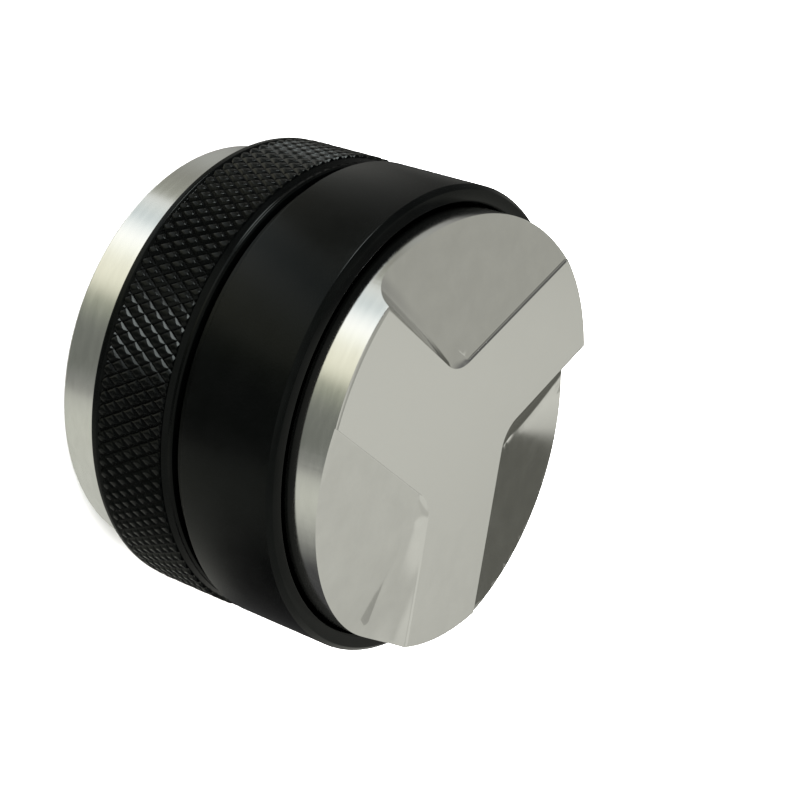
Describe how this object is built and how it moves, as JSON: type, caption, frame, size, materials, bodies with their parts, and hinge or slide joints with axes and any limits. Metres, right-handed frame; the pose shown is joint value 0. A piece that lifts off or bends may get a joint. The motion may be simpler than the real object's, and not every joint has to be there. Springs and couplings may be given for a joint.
{
  "type": "espresso tamper",
  "caption": "Palm-grip espresso tamper: a flat steel tamping head below, a winged steel distributor head above, and black collars on threads between them that set each head's reach.",
  "frame": {"origin": "on the tool's axis, in the plane of the flat tamping face it stands on", "axes": "+Z along the tool's axis, from the flat tamping face up to the winged distributor face"},
  "size_m": [0.064, 0.064, 0.044],
  "materials": {
    "stainless_steel": "fine-turned stainless steel",
    "black_anodised": "satin black anodised aluminium",
    "bare_aluminium": "turned aluminium",
    "fastener_steel": "plain steel fastener",
    "nitrile_rubber": "black nitrile rubber"
  },
  "bodies": {
    "core": {"tamper_base": "stainless_steel", "distributor_head": "stainless_steel", "tamper_hub": "bare_aluminium", "distributor_hub": "bare_aluminium", "centre_ring": "black_anodised", "centre_stud": "fastener_steel", "tamper_screw_1": "fastener_steel", "tamper_screw_2": "fastener_steel", "tamper_screw_3": "fastener_steel", "distributor_screw_1": "fastener_steel", "distributor_screw_2": "fastener_steel", "distributor_screw_3": "fastener_steel"},
    "tamper_drag": {"tamper_drag_ring": "nitrile_rubber"},
    "depth_collar": {"knurled_collar": "black_anodised"},
    "distributor_drag": {"distributor_drag_ring": "nitrile_rubber"},
    "distributor_collar": {"smooth_collar": "black_anodised"}
  },
  "joints": [
    {"name": "depth_collar_travel", "type": "slide", "parent": "core", "child": "tamper_drag", "axis": [0, 0, -1], "range_m": [0, 0.005]},
    {"name": "depth_collar_turn", "type": "hinge", "parent": "tamper_drag", "child": "depth_collar", "pos_m": [0, 0, 0.018], "axis": [0, 0, -1], "range_deg": [0, 1200]},
    {"name": "distributor_collar_travel", "type": "slide", "parent": "core", "child": "distributor_drag", "axis": [0, 0, 1], "range_m": [0, 0.005]},
    {"name": "distributor_collar_turn", "type": "hinge", "parent": "distributor_drag", "child": "distributor_collar", "pos_m": [0, 0, 0.026], "axis": [0, 0, 1], "range_deg": [0, 1200]}
  ],
  "couplings": [
    {"joint": "depth_collar_travel", "follows": "depth_collar_turn", "m_per_rad": 0.00023873},
    {"joint": "distributor_collar_travel", "follows": "distributor_collar_turn", "m_per_rad": 0.00023873}
  ]
}
